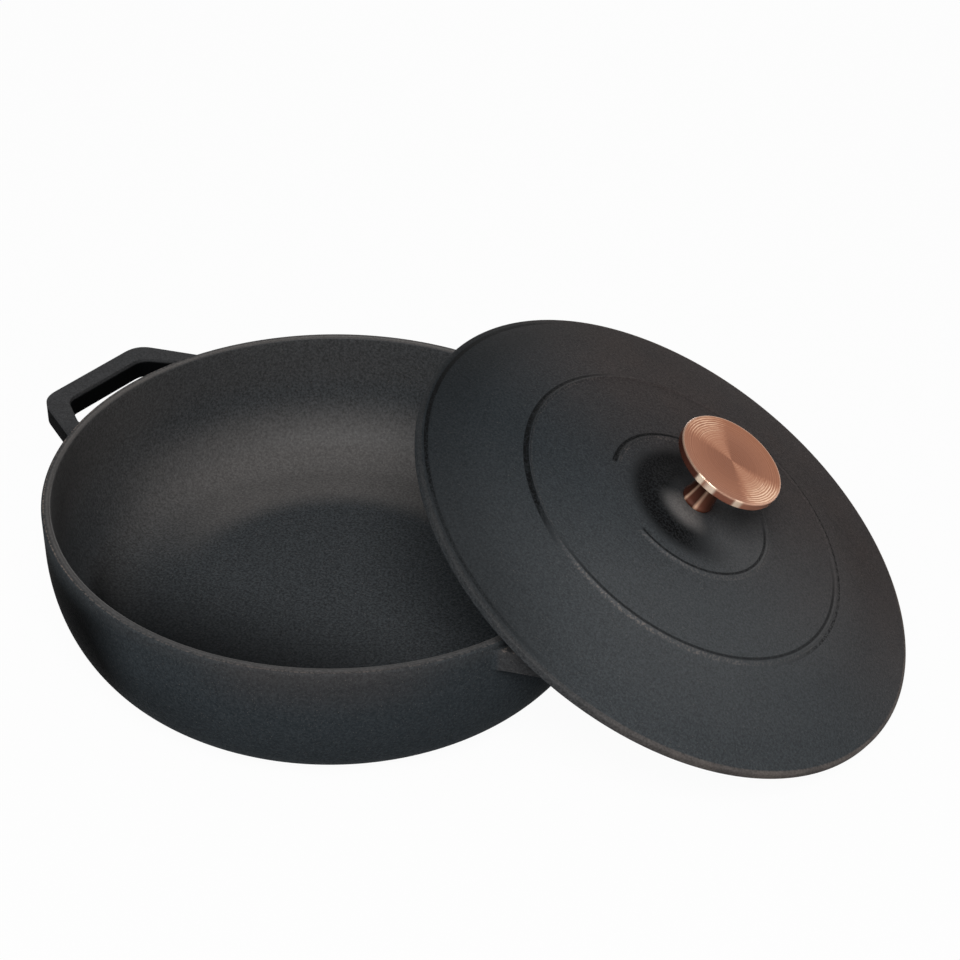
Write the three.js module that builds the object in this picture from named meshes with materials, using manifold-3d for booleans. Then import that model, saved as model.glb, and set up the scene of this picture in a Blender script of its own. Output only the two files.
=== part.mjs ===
// Shallow cast-iron casserole with two loop handles. Its lid, with a turned copper-coloured knob,
// leans beside it: low edge on the table, underside over one handle.
// Units are mm, +Z is up. The origin is the middle of the pot's flat base, on the table.
// +X runs through the handle that the lid leans over.
import * as THREE from 'three';
import { mergeVertices } from 'three/addons/utils/BufferGeometryUtils.js';
import Module from 'manifold-3d';

const wasm = await Module();
wasm.setup();

// Pot casting.
const RIM_RADIUS = 143;
const POT_HEIGHT = 76;
const WALL = 4.8;
const BASE_RADIUS = 113;
const BASE_THICKNESS = 5.5;
const CORNER_HEIGHT = 55;
const FLOOR_INSET = 7;
const RIM_ROUND = 1.2;

// Loop handles, cast with the pot.
const HANDLE_REACH = 28.3;
const HANDLE_BAR = 11;
const HANDLE_THICKNESS = 12;
const HANDLE_DROP = 3.1;
const HANDLE_HALF_BAR = 35;
const HANDLE_HALF_ROOT = 51;
const HANDLE_ROUND = 9;
const HANDLE_BEVEL = 1.4;

// Lid casting. Heights are above the top of its outer edge.
const LID_OVERHANG = 1.3;
const LID_EDGE = 4;
const LID_EDGE_ROUND = 0.7;
const LID_THICKNESS = 5;
const DOME_HEIGHT = 20.5;
const DOME_POWER = 2.2;
const HILL_HEIGHT = 4;
const HILL_RADIUS = 27;
const SEAT_RADIUS = 10;
const RING_RADII = [0.6275, 0.309];
const RING_WIDTH = 2.6;
const RING_HEIGHT = 0.8;
const RING_GAP_ANGLE = 57;
const RING_GAP_AT = 233;
const RIB_CLEARANCE = 1.1;
const RIB_WIDTH = 3.2;
const RIB_DEPTH = 2;

// Knob and its fixing.
const KNOB_RADIUS = 27.4;
const KNOB_HEIGHT = 31;
const KNOB_EDGE = 4;
const KNOB_DISH = 0.7;
const KNOB_BASE_RADIUS = 8.3;
const KNOB_WAIST_RADIUS = 6.3;
const SCREW_RADIUS = 2.5;
const SCREW_GRIP = 12;
const SCREW_HEAD_RADIUS = 4.8;
const SCREW_HEAD_HEIGHT = 3;
const FLAT_WASHER_RADIUS = 7;
const FLAT_WASHER_THICKNESS = 1.1;
const LOCK_WASHER_RADIUS = 4.6;
const LOCK_WASHER_THICKNESS = 1.3;
const LOCK_WASHER_SPLIT = 1;

// Fits.
const GAP = 0.3;
const LEAN_CLEARANCE = 0.3;
const TABLE_CLEARANCE = 0.1;

// How the lid leans: tilt from level, the way its top faces in plan, and its shift across that way.
const LEAN_TILT = 26.9;
const LEAN_HEADING = 15.75;
const LEAN_SHIFT = 40;

const ROUND = 64;
const FINE = 40;

const rad = THREE.MathUtils.degToRad;

function manifoldOf(geometry) {
  const bare = geometry.index ? geometry.toNonIndexed() : geometry.clone();
  bare.deleteAttribute('normal');
  bare.deleteAttribute('uv');
  const merged = mergeVertices(bare, 1e-4);
  const mesh = new wasm.Mesh({
    numProp: 3,
    vertProperties: new Float32Array(merged.attributes.position.array),
    triVerts: new Uint32Array(merged.index.array),
  });
  return new wasm.Manifold(mesh);
}

function geometryOf(solid) {
  const mesh = solid.getMesh();
  const geometry = new THREE.BufferGeometry();
  geometry.setAttribute('position', new THREE.BufferAttribute(new Float32Array(mesh.vertProperties), 3));
  geometry.setIndex(new THREE.BufferAttribute(new Uint32Array(mesh.triVerts), 1));
  geometry.computeVertexNormals();
  return geometry;
}

// A solid of revolution about +Z from (radius, height) points.
function turned(points, segments) {
  const profile = points.map(([r, z]) => new THREE.Vector2(r, z));
  const geometry = new THREE.LatheGeometry(profile, segments);
  geometry.rotateX(Math.PI / 2);
  return geometry;
}

function ringOf(inner, outer, low, high, segments) {
  return turned([[inner, low], [outer, low], [outer, high], [inner, high], [inner, low]], segments);
}

function part(name, geometry, color, roughness, metalness) {
  const material = new THREE.MeshStandardMaterial({ color, roughness, metalness });
  const mesh = new THREE.Mesh(geometry, material);
  mesh.name = name;
  return mesh;
}

// Quarter-ellipse points from (r0, z0), level, to (r1, z1), upright.
function corner(r0, z0, r1, z1, steps) {
  const points = [];
  for (let i = 0; i <= steps; i += 1) {
    const a = (Math.PI / 2) * (i / steps);
    points.push([r0 + (r1 - r0) * Math.sin(a), z1 + (z0 - z1) * Math.cos(a)]);
  }
  return points;
}

const RIM_INNER = RIM_RADIUS - WALL;

function potOutside() {
  return turned([
    [0, 0],
    ...corner(BASE_RADIUS, 0, RIM_RADIUS, CORNER_HEIGHT, 10),
    [RIM_RADIUS, POT_HEIGHT - RIM_ROUND],
    [RIM_RADIUS - 0.3 * RIM_ROUND, POT_HEIGHT - 0.3 * RIM_ROUND],
    [RIM_RADIUS - RIM_ROUND, POT_HEIGHT],
    [0, POT_HEIGHT],
  ], ROUND);
}

function potHollow() {
  const floor = BASE_RADIUS - FLOOR_INSET;
  return turned([
    [0, BASE_THICKNESS],
    ...corner(floor, BASE_THICKNESS, RIM_INNER, CORNER_HEIGHT, 10),
    [RIM_INNER, POT_HEIGHT - RIM_ROUND],
    [RIM_INNER + 0.5 * RIM_ROUND, POT_HEIGHT],
    [RIM_INNER + 0.5 * RIM_ROUND, POT_HEIGHT + WALL],
    [0, POT_HEIGHT + WALL],
  ], ROUND);
}

// A closed plan outline whose corners are rounded where a radius is given.
function rounded(points, target) {
  const count = points.length;
  for (let i = 0; i < count; i += 1) {
    const [x, y, r] = points[i];
    const here = new THREE.Vector2(x, y);
    const last = new THREE.Vector2(...points[(i + count - 1) % count].slice(0, 2));
    const next = new THREE.Vector2(...points[(i + 1) % count].slice(0, 2));
    const back = last.sub(here).normalize();
    const ahead = next.sub(here).normalize();
    const half = Math.acos(THREE.MathUtils.clamp(back.dot(ahead), -1, 1)) / 2;
    const set = r / Math.tan(half);
    const from = here.clone().addScaledVector(back, set);
    const to = here.clone().addScaledVector(ahead, set);
    if (i === 0) {
      target.moveTo(from.x, from.y);
    } else {
      target.lineTo(from.x, from.y);
    }
    if (r > 0) {
      target.quadraticCurveTo(here.x, here.y, to.x, to.y);
    }
  }
  target.closePath();
  return target;
}

const HANDLE_OUT = RIM_RADIUS + HANDLE_REACH;
const HANDLE_TOP = POT_HEIGHT - HANDLE_DROP;

// One loop handle reaching along +X; its inner ends run into the wall.
function handle() {
  const root = Math.sqrt(RIM_INNER ** 2 - HANDLE_HALF_ROOT ** 2);
  const inset = HANDLE_BAR * 0.72;
  const bar = HANDLE_OUT - HANDLE_BAR;
  const inside = HANDLE_ROUND * 0.7;
  const outline = rounded([
    [root - WALL, -HANDLE_HALF_ROOT, 0],
    [root + WALL, -HANDLE_HALF_ROOT, HANDLE_ROUND * 0.6],
    [HANDLE_OUT, -HANDLE_HALF_BAR, HANDLE_ROUND],
    [HANDLE_OUT, HANDLE_HALF_BAR, HANDLE_ROUND],
    [root + WALL, HANDLE_HALF_ROOT, HANDLE_ROUND * 0.6],
    [root - WALL, HANDLE_HALF_ROOT, 0],
  ], new THREE.Shape());
  const finger = rounded([
    [root + WALL, HANDLE_HALF_ROOT - inset, inside],
    [bar, HANDLE_HALF_BAR - inset, inside],
    [bar, inset - HANDLE_HALF_BAR, inside],
    [root + WALL, inset - HANDLE_HALF_ROOT, inside],
  ], new THREE.Path());
  outline.holes.push(finger);
  const geometry = new THREE.ExtrudeGeometry(outline, {
    depth: HANDLE_THICKNESS - 2 * HANDLE_BEVEL,
    bevelEnabled: true,
    bevelThickness: HANDLE_BEVEL,
    bevelSize: HANDLE_BEVEL,
    bevelOffset: -HANDLE_BEVEL,
    bevelSegments: 2,
    curveSegments: 5,
  });
  geometry.translate(0, 0, HANDLE_TOP - HANDLE_THICKNESS + HANDLE_BEVEL);
  return geometry;
}

function potBody() {
  const loop = manifoldOf(handle());
  const bowl = manifoldOf(potOutside());
  const whole = bowl.add(loop).add(loop.rotate([0, 0, 180]));
  return geometryOf(whole.subtract(manifoldOf(potHollow())));
}

const LID_RADIUS = RIM_INNER + LID_OVERHANG;
const RIB_RADIUS = RIM_INNER - RIB_CLEARANCE;
const SCREW_HOLE = SCREW_RADIUS + GAP;
const SEAT = DOME_HEIGHT + HILL_HEIGHT - 1.5;

// Height of the lid's upper face, without the rings.
function domeTop(r) {
  const dome = DOME_HEIGHT * (1 - (r / LID_RADIUS) ** DOME_POWER);
  const level = Math.min(dome, DOME_HEIGHT - 1.5 + (1.5 * r) / HILL_RADIUS);
  const t = THREE.MathUtils.smoothstep(HILL_RADIUS - r, 0, HILL_RADIUS - SEAT_RADIUS);
  return THREE.MathUtils.lerp(Math.min(dome, level), SEAT, t);
}

// Height of the lid's lower face inside the rib.
function domeUnder(r) {
  const flat = SEAT - 1.45 * LID_THICKNESS;
  return Math.min(DOME_HEIGHT * (1 - (r / LID_RADIUS) ** DOME_POWER) - LID_THICKNESS, flat);
}

function lidBlank() {
  const edge = LID_RADIUS;
  const big = RING_RADII[0] * LID_RADIUS;
  const ribIn = RIB_RADIUS - RIB_WIDTH;
  const top = [big - RING_WIDTH / 2, 72, 56, 40, HILL_RADIUS, 22, 18, 14, SEAT_RADIUS];
  const rim = [edge - 4, 124, 112, 100, big + RING_WIDTH / 2];
  const under = [FLAT_WASHER_RADIUS + 2, 42, 64, 84, 102, 118, ribIn - 5];
  return turned([
    [SCREW_HOLE, SEAT],
    [SCREW_HOLE, domeUnder(0)],
    ...under.map((r) => [r, domeUnder(r)]),
    [ribIn, -LID_EDGE - RIB_DEPTH],
    [RIB_RADIUS - LID_EDGE_ROUND, -LID_EDGE - RIB_DEPTH],
    [RIB_RADIUS, -LID_EDGE],
    [edge - LID_EDGE_ROUND, -LID_EDGE],
    [edge, LID_EDGE_ROUND - LID_EDGE],
    [edge, -LID_EDGE_ROUND],
    [edge - LID_EDGE_ROUND, domeTop(edge - LID_EDGE_ROUND)],
    ...rim.map((r) => [r, domeTop(r)]),
    [big + RING_WIDTH / 4, domeTop(big) + RING_HEIGHT],
    [big - RING_WIDTH / 4, domeTop(big) + RING_HEIGHT],
    ...top.map((r) => [r, domeTop(r)]),
    [SCREW_HOLE, SEAT],
  ], ROUND);
}

// The inner ring stops short where a cast mark would sit.
function innerRing() {
  const r = RING_RADII[1] * LID_RADIUS;
  const low = domeTop(r) - RING_HEIGHT;
  const high = domeTop(r) + RING_HEIGHT;
  const ring = manifoldOf(turned([
    [r - RING_WIDTH / 2, low],
    [r + RING_WIDTH / 2, low],
    [r + RING_WIDTH / 2, domeTop(r + RING_WIDTH / 2)],
    [r + RING_WIDTH / 4, high],
    [r - RING_WIDTH / 4, high],
    [r - RING_WIDTH / 2, domeTop(r - RING_WIDTH / 2)],
    [r - RING_WIDTH / 2, low],
  ], ROUND));
  const wedge = new THREE.Shape();
  wedge.moveTo(0, 0);
  const reach = 2 * r;
  for (const side of [-0.5, 0, 0.5]) {
    const a = rad(RING_GAP_AT + side * RING_GAP_ANGLE);
    wedge.lineTo(reach * Math.cos(a), reach * Math.sin(a));
  }
  wedge.closePath();
  const cut = new THREE.ExtrudeGeometry(wedge, { depth: 4 * RING_HEIGHT, bevelEnabled: false });
  cut.translate(0, 0, low - RING_HEIGHT);
  return ring.subtract(manifoldOf(cut));
}

function lid() {
  return geometryOf(manifoldOf(lidBlank()).add(innerRing()));
}

function knob() {
  const foot = SEAT + GAP;
  const top = foot + KNOB_HEIGHT;
  const bottom = top - KNOB_EDGE;
  const hole = SCREW_RADIUS + GAP;
  const bore = foot + SCREW_GRIP + 2;
  return turned([
    [0, bore],
    [hole, bore - 1],
    [hole, foot],
    [KNOB_BASE_RADIUS, foot],
    [KNOB_BASE_RADIUS, foot + 1.2],
    [KNOB_WAIST_RADIUS + 0.7, foot + 4],
    [KNOB_WAIST_RADIUS, foot + 9],
    [KNOB_WAIST_RADIUS + 0.4, foot + 14],
    [KNOB_WAIST_RADIUS + 1.8, foot + 18.5],
    [KNOB_WAIST_RADIUS + 5.2, foot + 22.5],
    [KNOB_RADIUS * 0.62, bottom - 1.8],
    [KNOB_RADIUS - 1.2, bottom - 0.5],
    [KNOB_RADIUS, bottom + 0.5],
    [KNOB_RADIUS, top - 0.5],
    [KNOB_RADIUS - 0.6, top],
    [KNOB_RADIUS * 0.6, top - 0.75 * KNOB_DISH],
    [0, top - KNOB_DISH],
  ], FINE);
}

const UNDER_SEAT = domeUnder(0);
const FLAT_TOP = UNDER_SEAT - GAP;
const LOCK_TOP = FLAT_TOP - FLAT_WASHER_THICKNESS - GAP;
const HEAD_TOP = LOCK_TOP - LOCK_WASHER_THICKNESS - GAP;

function knobScrew() {
  const tip = SEAT + GAP + SCREW_GRIP;
  const low = HEAD_TOP - SCREW_HEAD_HEIGHT;
  const blank = manifoldOf(turned([
    [0, low],
    [SCREW_HEAD_RADIUS - 1.4, low],
    [SCREW_HEAD_RADIUS, low + 1.2],
    [SCREW_HEAD_RADIUS, HEAD_TOP],
    [SCREW_RADIUS, HEAD_TOP],
    [SCREW_RADIUS, tip - 0.8],
    [SCREW_RADIUS - 0.8, tip],
    [0, tip],
  ], FINE));
  const slot = new THREE.BoxGeometry(SCREW_HEAD_RADIUS * 1.2, 1.2, 2.8);
  slot.translate(0, 0, low);
  const bar = manifoldOf(slot);
  return geometryOf(blank.subtract(bar).subtract(bar.rotate([0, 0, 90])));
}

function lockWasher() {
  const inner = SCREW_RADIUS + GAP;
  const ring = manifoldOf(ringOf(inner, LOCK_WASHER_RADIUS, LOCK_TOP - LOCK_WASHER_THICKNESS, LOCK_TOP, FINE));
  const split = new THREE.BoxGeometry(LOCK_WASHER_RADIUS, LOCK_WASHER_SPLIT, LOCK_WASHER_THICKNESS * 3);
  split.translate(LOCK_WASHER_RADIUS * 0.8, 0, LOCK_TOP);
  return geometryOf(ring.subtract(manifoldOf(split)));
}

// Where the lid leans: its low edge on the table, pushed in along its heading until its underside
// is one clearance from the handle and the rim.
function leanMatrix() {
  const tilt = rad(LEAN_TILT);
  const heading = rad(LEAN_HEADING);
  const up = new THREE.Vector3(
    Math.sin(tilt) * Math.cos(heading),
    Math.sin(tilt) * Math.sin(heading),
    Math.cos(tilt),
  );
  const drop = Math.max(
    LID_RADIUS * Math.sin(tilt) + (LID_EDGE - LID_EDGE_ROUND) * Math.cos(tilt),
    (LID_RADIUS - LID_EDGE_ROUND) * Math.sin(tilt) + LID_EDGE * Math.cos(tilt),
    (RIB_RADIUS - LID_EDGE_ROUND) * Math.sin(tilt) + (LID_EDGE + RIB_DEPTH) * Math.cos(tilt),
  );
  const along = new THREE.Vector3(Math.cos(heading), Math.sin(heading), 0);
  const across = new THREE.Vector3(-Math.sin(heading), Math.cos(heading), 0);
  const below = [];
  for (let i = 0; i < 360; i += 1) {
    below.push(new THREE.Vector3(RIM_RADIUS * Math.cos(rad(i)), RIM_RADIUS * Math.sin(rad(i)), POT_HEIGHT));
  }
  const straight = HANDLE_HALF_BAR - HANDLE_ROUND / 2;
  for (let i = -10; i <= 10; i += 1) {
    const y = (straight * i) / 10;
    below.push(new THREE.Vector3(HANDLE_OUT - HANDLE_BEVEL, y, HANDLE_TOP));
    below.push(new THREE.Vector3(HANDLE_OUT, y, HANDLE_TOP - HANDLE_BEVEL));
  }
  const clear = (reach) => {
    const centre = along.clone().multiplyScalar(reach).addScaledVector(across, LEAN_SHIFT);
    centre.z = drop + TABLE_CLEARANCE;
    let least = Infinity;
    for (const point of below) {
      const offset = point.clone().sub(centre);
      const height = offset.dot(up);
      const r = offset.addScaledVector(up, -height).length();
      if (r < LID_RADIUS + LEAN_CLEARANCE) {
        const face = r > RIB_RADIUS - 2 * RIB_WIDTH ? -LID_EDGE - RIB_DEPTH : domeUnder(r);
        least = Math.min(least, face - height);
      }
    }
    return { least, centre };
  };
  let near = RIM_RADIUS * 0.8;
  let far = RIM_RADIUS * 2.5;
  for (let i = 0; i < 50; i += 1) {
    const mid = (near + far) / 2;
    if (clear(mid).least < LEAN_CLEARANCE) {
      near = mid;
    } else {
      far = mid;
    }
  }
  const turn = new THREE.Quaternion().setFromUnitVectors(new THREE.Vector3(0, 0, 1), up);
  return new THREE.Matrix4().compose(clear(far).centre, turn, new THREE.Vector3(1, 1, 1));
}

const lean = leanMatrix();
const leaning = (geometry) => geometry.applyMatrix4(lean);

const casserole = new THREE.Group();
casserole.name = 'casserole';
casserole.add(part('pot_body', potBody(), 0x2b2c2d, 0.72, 0.2));
casserole.add(part('lid', leaning(lid()), 0x2c2d2e, 0.7, 0.2));
casserole.add(part('knob', leaning(knob()), 0xc07a52, 0.25, 1));
casserole.add(part('knob_screw', leaning(knobScrew()), 0xb9bcc0, 0.35, 1));
casserole.add(part('flat_washer', leaning(ringOf(
  SCREW_HOLE,
  FLAT_WASHER_RADIUS,
  FLAT_TOP - FLAT_WASHER_THICKNESS,
  FLAT_TOP,
  FINE,
)), 0xb4b7bb, 0.4, 1));
casserole.add(part('lock_washer', leaning(lockWasher()), 0x9a9da1, 0.4, 1));

export default casserole;
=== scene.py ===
"""Looks of a shallow cast-iron casserole whose lid leans beside it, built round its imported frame."""
import math

import bmesh
import bpy
import numpy as np
from mathutils import Matrix, Vector


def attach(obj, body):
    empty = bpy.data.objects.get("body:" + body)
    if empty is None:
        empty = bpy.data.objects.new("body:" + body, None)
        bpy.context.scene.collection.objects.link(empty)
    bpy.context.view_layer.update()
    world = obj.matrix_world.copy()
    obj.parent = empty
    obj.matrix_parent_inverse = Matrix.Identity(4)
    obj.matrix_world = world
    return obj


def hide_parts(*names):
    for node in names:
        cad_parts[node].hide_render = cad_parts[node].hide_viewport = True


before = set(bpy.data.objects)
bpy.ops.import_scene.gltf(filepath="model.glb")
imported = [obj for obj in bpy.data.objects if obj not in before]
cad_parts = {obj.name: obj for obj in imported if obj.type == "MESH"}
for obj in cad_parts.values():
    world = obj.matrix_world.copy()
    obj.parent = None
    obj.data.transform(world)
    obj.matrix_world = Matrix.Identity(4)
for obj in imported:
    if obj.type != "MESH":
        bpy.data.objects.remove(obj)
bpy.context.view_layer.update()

bl_info = {
    "name": "Casserole with leaning lid",
    "version": (1, 0, 0),
    "blender": (4, 5, 0),
    "location": "3D View > Sidebar > Casserole",
    "description": "Cast-iron casserole, its leaning lid, the turned knob and a plain studio",
    "category": "Add Mesh",
}

FULL_TURN = 2 * math.pi
SAME_PLACE = 1e-6
NO_LENGTH = 1e-7
UPPER = "upper"
FLOOR_WHITE = 0.96
# Directions of the two bright fans on the knob's top, which are painted reflections.
PAINTED_FANS_AT = (math.radians(165), math.radians(352))
# Copper from dark to bright, chosen by the painted brightness of the turned top; its brightest stop also
# paints the lip's highlight.
COPPER_FACE_SHEEN = (
    (0.00, (0.130, 0.046, 0.025)),
    (0.30, (0.235, 0.092, 0.052)),
    (0.60, (0.400, 0.178, 0.104)),
    (0.84, (0.600, 0.345, 0.222)),
    (1.00, (0.860, 0.600, 0.430)),
)
# Colours round the knob's polished edge by angle: the bright stripes and the dark and light sides are
# painted reflections.
COPPER_EDGE_REFLECTIONS = (
    (0.00, (0.200, 0.075, 0.046)),
    (0.10, (0.060, 0.019, 0.012)),
    (0.222, (0.095, 0.033, 0.022)),
    (0.228, (1.000, 0.800, 0.620)),
    (0.243, (1.000, 0.800, 0.620)),
    (0.249, (0.360, 0.150, 0.096)),
    (0.267, (1.000, 0.780, 0.610)),
    (0.283, (1.000, 0.780, 0.610)),
    (0.290, (0.300, 0.115, 0.075)),
    (0.346, (0.330, 0.130, 0.085)),
    (0.352, (1.000, 0.780, 0.600)),
    (0.368, (0.950, 0.700, 0.520)),
    (0.376, (0.460, 0.195, 0.125)),
    (0.50, (0.520, 0.235, 0.150)),
    (1.00, (0.200, 0.075, 0.046)),
)
# Colours round the knob's stem by angle: the bright streaks are painted reflections.
COPPER_STEM_REFLECTIONS = (
    (0.00, (0.080, 0.026, 0.016)),
    (0.142, (0.085, 0.028, 0.018)),
    (0.165, (0.900, 0.560, 0.390)),
    (0.188, (0.170, 0.060, 0.038)),
    (0.270, (0.095, 0.032, 0.021)),
    (0.298, (0.850, 0.520, 0.360)),
    (0.326, (0.240, 0.090, 0.057)),
    (0.42, (0.100, 0.034, 0.021)),
    (1.00, (0.080, 0.026, 0.016)),
)


def length(name, description, default):
    """A size in metres."""
    return bpy.props.FloatProperty(
        name=name,
        description=description,
        default=default,
        min=0,
        subtype="DISTANCE",
        unit="LENGTH",
        precision=5,
    )


def angle(name, description, degrees):
    """An angle, kept in radians."""
    return bpy.props.FloatProperty(
        name=name, description=description, default=math.radians(degrees), subtype="ANGLE", unit="ROTATION"
    )


def colour(name, description, default):
    """A linear colour."""
    return bpy.props.FloatVectorProperty(
        name=name, description=description, default=default, size=3, min=0, max=1, subtype="COLOR"
    )


def number(name, description, default):
    """A plain number."""
    return bpy.props.FloatProperty(name=name, description=description, default=default)


class PotSizes(bpy.types.PropertyGroup):
    """Sizes of the pot casting and its loop handles."""

    rim_radius: length("Rim radius", "Outside radius of the rim", 0.143)
    height: length("Height", "From the table to the top of the rim", 0.076)
    wall: length("Wall", "Thickness of the wall at the rim", 0.0048)
    base_radius: length("Base radius", "Radius of the flat base", 0.113)
    base_thickness: length("Base thickness", "Thickness of the floor", 0.0055)
    corner_height: length("Corner height", "Height at which the wall turns upright", 0.055)
    floor_inset: length("Floor inset", "How much smaller the inner floor is than the base", 0.007)
    rim_round: length("Rim round", "Radius of the rim's rounded edges", 0.0012)
    handle_reach: length("Handle reach", "How far a handle stands out from the rim", 0.0283)
    handle_bar: length("Handle bar", "Width of the handle's bar in plan", 0.011)
    handle_thickness: length("Handle thickness", "Height of the handle's section", 0.012)
    handle_drop: length("Handle drop", "From the rim's top to the handle's top", 0.0031)
    handle_half_bar: length("Handle half bar", "Half of the bar's length", 0.035)
    handle_half_root: length("Handle half root", "Half of the handle's width at the wall", 0.051)
    handle_round: length("Handle round", "Reach of the rounding at the handle's corners", 0.009)
    handle_edge: length("Handle edge", "Rounding of the handle's long edges", 0.0020)
    root_fillet: length("Root fillet", "Fillet between handle and wall in plan", 0.006)
    slit_fillet: length("Slit fillet", "Fillet at the ends of the finger gap", 0.0085)


class LidSizes(bpy.types.PropertyGroup):
    """Sizes of the lid casting and how it leans."""

    radius: length("Lid radius", "Outside radius of the lid", 0.1395)
    edge: length("Edge", "Height of the outer edge", 0.004)
    edge_round: length("Edge round", "Rounding of the outer edge", 0.0009)
    thickness: length("Thickness", "Thickness of the dome", 0.005)
    dome_height: length("Dome height", "Rise of the dome above the edge", 0.0205)
    dome_power: number("Dome power", "How flat the dome's middle is", 2.2)
    hill_height: length("Hill height", "Rise of the boss under the knob", 0.004)
    hill_radius: length("Hill radius", "Where the boss runs out into the dome", 0.027)
    seat_radius: length("Seat radius", "Flat seat under the knob", 0.010)
    seat_drop: length("Seat drop", "How far the dome dips before the boss", 0.0015)
    outer_ring: length("Outer ring", "Radius of the whole ring", 0.08754)
    inner_ring: length("Inner ring", "Radius of the ring with a gap", 0.04311)
    ring_width: length("Ring width", "Width of a raised ring", 0.0026)
    ring_height: length("Ring height", "Height of a raised ring", 0.0008)
    gap_angle: angle("Ring gap", "Angle of the inner ring's gap", 57)
    gap_at: angle("Ring gap at", "Direction of the middle of the gap", 233)
    rib_radius: length("Rib radius", "Outside radius of the rib that centres the lid", 0.1371)
    rib_width: length("Rib width", "Width of that rib", 0.0032)
    rib_depth: length("Rib depth", "Depth of that rib below the edge", 0.002)
    hole: length("Hole", "Radius of the screw hole", 0.0028)
    tilt: angle("Tilt", "Tilt of the leaning lid from level", 26.9)
    heading: angle("Heading", "The way that the leaning lid's top faces in plan", 15.75)


class KnobSizes(bpy.types.PropertyGroup):
    """Sizes of the turned knob, measured from its foot."""

    radius: length("Knob radius", "Radius of the disc", 0.0274)
    height: length("Knob height", "From the foot to the top of the disc", 0.031)
    edge: length("Disc edge", "Height of the disc's polished edge", 0.004)
    dish: length("Dish", "How far the disc's middle lies below its edge", 0.0007)
    base_radius: length("Foot radius", "Radius of the foot", 0.0083)
    waist_radius: length("Waist radius", "Least radius of the stem", 0.0063)
    foot_gap: length("Foot gap", "From the lid's seat to the foot", 0.0003)
    ripple_pitch: length("Ripple pitch", "From one turned ripple to the next", 0.00125)
    ripple_depth: length("Ripple depth", "Depth of the turned ripples", 0.00003)


class Finishes(bpy.types.PropertyGroup):
    """Colours of the finishes."""

    iron_dark: colour("Iron, dark", "Hollows of the cast grain", (0.0112, 0.0142, 0.0166))
    iron_light: colour("Iron, light", "Tops of the cast grain", (0.0500, 0.0590, 0.0662))
    # The brown colour also paints warm light on the lid's far side.
    iron_brown: colour("Iron, brown", "Seasoned places", (0.0860, 0.0680, 0.0630))
    # The worn colour also paints the hill's highlight and the glints along the rings.
    worn: colour("Worn edge", "Bare iron along edges", (0.290, 0.230, 0.196))
    # The pale colours also paint light: the pot's far inner corner, and the lid's lower side, middle, hill
    # side and ring lines.
    pale: colour("Pale iron", "Dry, paler places", (0.142, 0.134, 0.130))
    pale_cool: colour("Pale iron, cool", "Paler places of the lid", (0.134, 0.137, 0.140))
    # The blackened colour mostly paints shade: the dark ends of the pot's wall, the near floor, the handle's
    # sides, the lines by the rings and the ring round the hill.
    soot_and_shade: colour("Soot", "Blackened hollows", (0.0020, 0.0022, 0.0024))
    steel: colour("Steel", "Screw and washers", (0.50, 0.51, 0.53))


class StageSizes(bpy.types.PropertyGroup):
    """Camera and light."""

    eye: bpy.props.FloatVectorProperty(
        name="Eye",
        description="Where the camera stands",
        default=(0.46664, -0.55965, 0.59832),
        size=3,
        subtype="XYZ_LENGTH",
        unit="LENGTH",
    )
    pitch: angle("Pitch", "How far the camera looks down", math.degrees(0.6193))
    roll: angle("Roll", "Roll of the camera", math.degrees(-0.0477))
    turn: angle("Turn", "Turn of the camera about the vertical", 34.185)
    focal: number("Focal length", "Lens, in mm on a 36 mm sensor", 67.5)
    ambient: number("Ambient", "Strength of the even light", 0.12)


class Term:
    """One output of a node, so that maths on sockets reads as arithmetic."""

    def __init__(self, tree, socket=None):
        self.tree = tree
        self.socket = socket

    def node(self, kind, settings=None, sockets=None, out=0):
        """Adds a node: its settings first, then the values or links of its sockets."""
        made = self.tree.nodes.new(kind)
        for name, value in (settings or {}).items():
            if name == "stops":
                ramp = made.color_ramp.elements
                while len(ramp) < len(value):
                    ramp.new(1.0)
                for element, (place, shade) in zip(ramp, value):
                    element.position = place
                    element.color = (*shade, 1.0)
            else:
                setattr(made, name, value)
        for name, value in (sockets or {}).items():
            target = made.inputs[name]
            if isinstance(value, Term):
                self.tree.links.new(value.socket, target)
            else:
                target.default_value = value
        return Term(self.tree, made.outputs[out] if made.outputs else None)

    def math(self, operation, *values, clamp=False):
        settings = {"operation": operation, "use_clamp": clamp}
        return self.node("ShaderNodeMath", settings, dict(enumerate(values)))

    def __add__(self, other):
        return self.math("ADD", self, other)

    def __radd__(self, other):
        return self.math("ADD", other, self)

    def __sub__(self, other):
        return self.math("SUBTRACT", self, other)

    def __rsub__(self, other):
        return self.math("SUBTRACT", other, self)

    def __mul__(self, other):
        return self.math("MULTIPLY", self, other)

    def __rmul__(self, other):
        return self.math("MULTIPLY", other, self)

    def __truediv__(self, other):
        return self.math("DIVIDE", self, other)

    def rise(self, low, high):
        """0 below low, 1 above high, smooth between; low may be the larger."""
        flip = low > high
        ends = (1.0, 0.0) if flip else (0.0, 1.0)
        return self.node(
            "ShaderNodeMapRange",
            {"interpolation_type": "SMOOTHSTEP"},
            {
                "Value": self,
                "From Min": min(low, high),
                "From Max": max(low, high),
                "To Min": ends[0],
                "To Max": ends[1],
            },
        )

    def band(self, low, high, soft):
        """1 between low and high, fading over soft on both sides."""
        return self.rise(low - soft, low) * self.rise(high + soft, high)

    def mix(self, a, b):
        """Colour a where this is 0, colour b where it is 1."""
        shade = [c if isinstance(c, Term) else (*c, 1.0) for c in (a, b)]
        return self.node("ShaderNodeMix", {"data_type": "RGBA"}, {0: self, 6: shade[0], 7: shade[1]}, out=2)


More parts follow.
